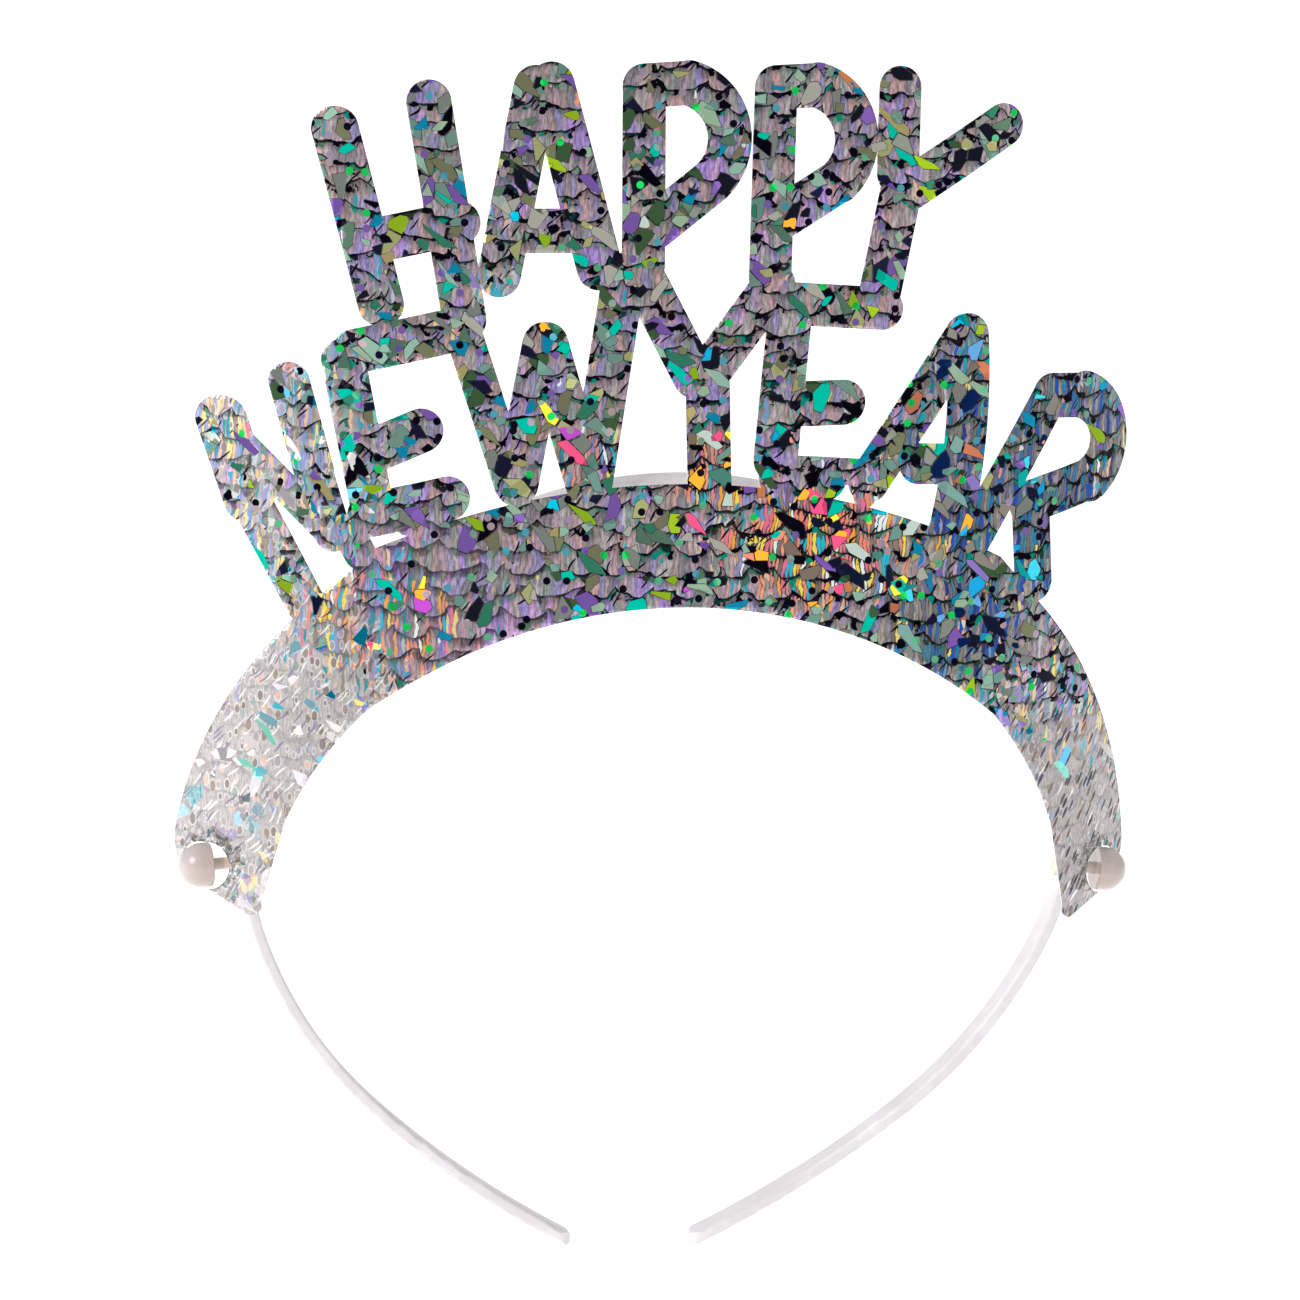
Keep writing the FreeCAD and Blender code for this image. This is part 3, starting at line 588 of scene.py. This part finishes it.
def stud_plastic(band_reach):
    """Milky nylon: a cream shank that turns grey on its way out to the dome. The dome is painted lighter
    towards its tip, a painted highlight, and browner towards the front, a painted shade: together they stand
    in for the bright rim and dark middle that studio light gives a glossy milky dome. band_reach is how far
    out the sides of the band are, in metres."""
    g = Graph("milky_plastic")
    place = g.place()
    out = g.math("ABSOLUTE", g.split(place)[0])
    greyness = g.fade(out, band_reach + CREAM_ENDS * MM, band_reach + GREY_STARTS * MM)
    # painted highlight: the dome lighter towards its tip
    crown_highlight = g.fade(out, band_reach + DOME_STARTS * MM, band_reach + CROWN_STARTS * MM)
    # painted shade: the front of the dome browner and darker
    front = g.fade(g.split(place)[1], -1.2 * MM, -3.3 * MM)
    cloud = g.fade(g.noise(place, 2.4 * MM, 3.0), 0.35, 0.65)
    grain = g.noise(place, 0.25 * MM, 2.0)
    body = g.blend(crown_highlight, paint(188, 177, 172), paint(193, 184, 181))
    body = g.blend(g.math("MULTIPLY", front, 0.55), body, paint(176, 157, 147))
    colour = g.blend(greyness, paint(226, 206, 186), body)
    colour = g.blend(g.math("MULTIPLY", cloud, 0.25), colour, paint(176, 163, 160))
    g.set(Base_Color=colour, Roughness=g.fade(grain, 0.3, 0.7, 0.2, 0.3),
          Normal=g.bump(grain, 0.12, 0.05 * MM))
    g.set(Subsurface_Weight=0.35, Subsurface_Scale=1.2 * MM, IOR=1.5)
    g.set(Coat_Weight=0.3, Coat_Roughness=0.12)
    return g.material


def studio_white():
    """The studio's pale floor: matt, with the faintest unevenness."""
    g = Graph("studio_floor")
    cloud = g.noise(g.place(), 0.4, 2.0)
    g.set(Base_Color=g.blend(g.fade(cloud, 0.3, 0.7), (0.93, 0.93, 0.93, 1), (0.96, 0.96, 0.96, 1)),
          Roughness=0.9)
    g.set(Emission_Color=(1.0, 1.0, 1.0, 1.0), Emission_Strength=0.6)
    return g.material


# ============================================================================================== the foil
def run_along_card(x):
    """How far along the card, in mm from its middle, a point of its face at this x is."""
    turn_at_side = FRONT_HALF_RUN / FRONT_BEND
    side_starts = FRONT_BEND * math.sin(turn_at_side)
    out = abs(x)
    if out <= side_starts:
        run = FRONT_BEND * math.asin(out / FRONT_BEND)
    else:
        sine = (out - side_starts) / SIDE_BEND + math.sin(turn_at_side)
        run = FRONT_HALF_RUN + SIDE_BEND * (math.asin(min(1.0, sine)) - turn_at_side)
    return math.copysign(run, x)


def lift(along, up):
    """How far the foil stands off the card there, in mm: soft waves, and pleats that fan from the holes."""
    wave = noise.noise(Vector((along, up, 0.0)) / WAVE_SIZE) + 1
    height = WAVE_HEIGHT * wave
    hole = Vector((abs(along) - run_along_card(HOLE_OUT), up))
    near = max(0.0, 1 - max(0.0, hole.length - HOLE_RADIUS) / CREASE_REACH)
    angle = math.atan2(hole.y, hole.x)
    pleat = abs(math.sin(angle * CREASES_ROUND_A_HOLE / 2 + 2 * noise.noise(Vector((along, up, 3.0)) / 3)))
    return height + CREASE_HEIGHT * near ** 3 * (1 - pleat)


def cut_into_grid(mesh, faces, low, high):
    """Cuts the faces by upright and level planes, GRID apart, so that they can take relief."""
    for axis, normal in ((0, Vector((1, 0, 0))), (2, Vector((0, 0, 1)))):
        for step in range(1, math.ceil((high[axis] - low[axis]) / (GRID * MM))):
            point = Vector((0, 0, 0))
            point[axis] = low[axis] + step * GRID * MM
            edges = {edge for face in faces for edge in face.edges}
            corners = {corner for face in faces for corner in face.verts}
            cut = bmesh.ops.bisect_plane(mesh, geom=[*corners, *edges, *faces], plane_co=point,
                                         plane_no=normal, dist=1e-7)
            faces = [part for part in cut["geom"] if isinstance(part, bmesh.types.BMFace)]
    return faces


def make_foil():
    """The foil face of the tiara, from the CAD sheet, with its relief and its place on the card."""
    forward = Vector((0.0, -math.cos(CARD_LEAN), math.sin(CARD_LEAN)))
    mesh = bmesh.new()
    mesh.from_mesh(nodes["holographic_film"].data)
    bmesh.ops.remove_doubles(mesh, verts=mesh.verts, dist=1e-6)
    mesh.normal_update()
    front = [face for face in mesh.faces if face.normal.dot(forward) > 0.5]
    low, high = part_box("holographic_film")
    front = cut_into_grid(mesh, front, low, high)
    mesh.normal_update()
    facing = {}
    for face in front:
        for corner in face.verts:
            facing[corner] = facing.get(corner, Vector()) + face.normal
    place = mesh.verts.layers.float_vector.new("foil_place")
    for corner in mesh.verts:
        along = run_along_card(corner.co.x / MM)
        up = corner.co.z / MM / math.cos(CARD_LEAN)
        corner[place] = Vector((along, up, 0.0))
        if corner in facing:
            corner.co += facing[corner].normalized() * lift(along, up) * MM
    data = bpy.data.meshes.new("foil_sheet")
    mesh.to_mesh(data)
    mesh.free()
    data.set_sharp_from_angle(angle=math.radians(40))
    foil_sheet = bpy.data.objects.new("foil_sheet", data)
    bpy.context.scene.collection.objects.link(foil_sheet)
    data.materials.append(foil())
    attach(foil_sheet, "tiara")
    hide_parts("holographic_film")


# ================================================================================== the carried-over pieces
def wear(node, material):
    """Gives the CAD node this material in place of its own."""
    for slot in nodes[node].material_slots:
        slot.material = material


def dress_cad_pieces():
    wear("headband", band_plastic())
    wear("tiara_card", board())
    milky = stud_plastic(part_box("headband")[1].x)
    for node in ("left_stud", "right_stud"):
        wear(node, milky)


# ================================================================================================ studio
FLOOR_SIZE = 80.0
FLOOR_DROP = 0.1  # from the lowest point of the headband, which hangs free of the floor
WORLD_STRENGTH = 0.66


def area_light(name, place, target, width, power, colour=(1.0, 1.0, 1.0)):
    data = bpy.data.lights.new(name, "AREA")
    data.shape = "SQUARE"
    data.size = width
    data.energy = power
    data.color = colour
    light = bpy.data.objects.new(name, data)
    light.location = place
    light.rotation_euler = (Vector(target) - Vector(place)).to_track_quat("-Z", "Y").to_euler()
    bpy.context.scene.collection.objects.link(light)


def make_studio():
    lowest = cad_box[0][2]
    bpy.ops.mesh.primitive_plane_add(size=FLOOR_SIZE, location=(0, 0, lowest - FLOOR_DROP))
    floor = bpy.context.object
    floor.name = "studio_floor"
    floor.data.materials.append(studio_white())

    world = bpy.data.worlds.new("studio")
    world.use_nodes = True
    background = world.node_tree.nodes["Background"]
    background.inputs["Color"].default_value = (1.0, 1.0, 1.0, 1.0)
    background.inputs["Strength"].default_value = WORLD_STRENGTH
    bpy.context.scene.world = world

    middle = (0, 0, 0.03)
    area_light("key", (-1.5, -0.6, 0.9), middle, 0.9, 18.0)
    area_light("fill", (1.0, -1.2, 0.7), middle, 0.8, 0.9, (1.0, 0.86, 0.74))
    area_light("rim", (-0.2, 1.3, 1.0), middle, 0.8, 1.5)
    bpy.context.scene.view_settings.view_transform = "Standard"


# ================================================================================================ camera
CAMERA_TURN = math.radians(-15.5)
CAMERA_RISE = math.radians(14.5)
CAMERA_ROLL = math.radians(4.5)
CAMERA_AWAY = 1.42
CAMERA_TARGET = Vector((0.0, 0.0, 0.0296))
CAMERA_LENS = 253.24
CAMERA_SHIFT = (-0.0175, 0.0258)


def make_camera():
    back = Vector((math.sin(CAMERA_TURN) * math.cos(CAMERA_RISE),
                   -math.cos(CAMERA_TURN) * math.cos(CAMERA_RISE), math.sin(CAMERA_RISE)))
    level = Vector((math.cos(CAMERA_TURN), math.sin(CAMERA_TURN), 0.0))
    upright = back.cross(level)
    right = math.cos(CAMERA_ROLL) * level + math.sin(CAMERA_ROLL) * upright
    top = -math.sin(CAMERA_ROLL) * level + math.cos(CAMERA_ROLL) * upright
    data = bpy.data.cameras.new("camera")
    data.sensor_width = 36.0
    data.lens = CAMERA_LENS
    data.shift_x, data.shift_y = CAMERA_SHIFT
    camera = bpy.data.objects.new("camera", data)
    turn = Matrix((right, top, back)).transposed().to_4x4()
    camera.matrix_world = Matrix.Translation(CAMERA_TARGET + CAMERA_AWAY * back) @ turn
    bpy.context.scene.collection.objects.link(camera)
    bpy.context.scene.camera = camera


make_foil()
dress_cad_pieces()
make_studio()
make_camera()
